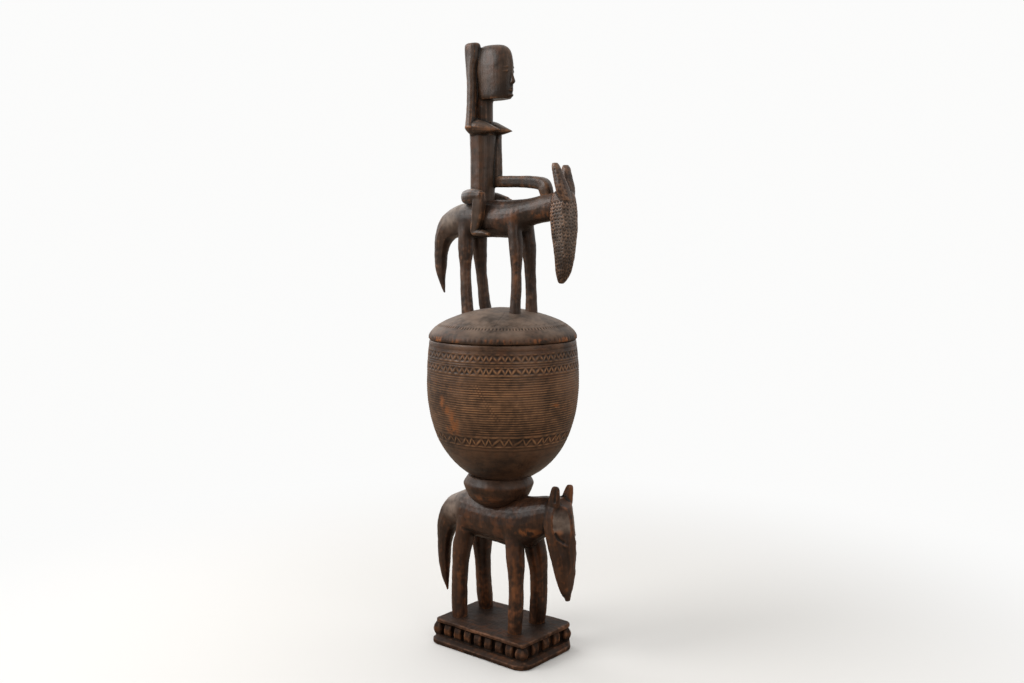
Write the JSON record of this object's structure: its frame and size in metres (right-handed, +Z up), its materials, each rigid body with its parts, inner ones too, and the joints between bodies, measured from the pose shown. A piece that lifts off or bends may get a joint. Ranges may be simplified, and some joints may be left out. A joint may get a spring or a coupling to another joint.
{
  "type": "figural lidded vessel",
  "caption": "Carved wooden lidded bowl borne by a standing horse on a beaded plinth, its domed lid topped by a second horse with a rider.",
  "frame": {"origin": "middle of the plinth's underside, on the surface it stands on", "axes": "+Z up through the bowl's axis; +X the way both horses and the rider face; +Y to the horses' left"},
  "size_m": [0.295, 0.2516, 0.9997],
  "materials": {
    "plinth_wood": "dark stained hardwood, satin, rubbed to brown on the edges",
    "horse_wood": "dark stained hardwood with a handled patina, semi-gloss",
    "bowl_wood": "dark brown hardwood with turned-looking fine grooves, satin",
    "lid_wood": "dark brown hardwood, dusty on the upper side, satin",
    "rider_wood": "dark stained hardwood with a handled patina, semi-gloss"
  },
  "bodies": {
    "vessel": {"plinth": "plinth_wood", "lower_horse": "horse_wood", "cushion": "horse_wood", "bowl": "bowl_wood"},
    "lid_lip": {"lid_lip": "lid_wood"},
    "lid": {"lid_dome": "lid_wood", "upper_horse": "horse_wood", "rider": "rider_wood"}
  },
  "joints": [
    {"name": "lid_lift", "type": "slide", "parent": "vessel", "child": "lid_lip", "axis": [0, 0, 1], "range_m": [0, 0.15]},
    {"name": "lid_turn", "type": "hinge", "parent": "lid_lip", "child": "lid", "pos_m": [0, 0, 0.52], "axis": [0, 0, 1], "continuous": true}
  ]
}
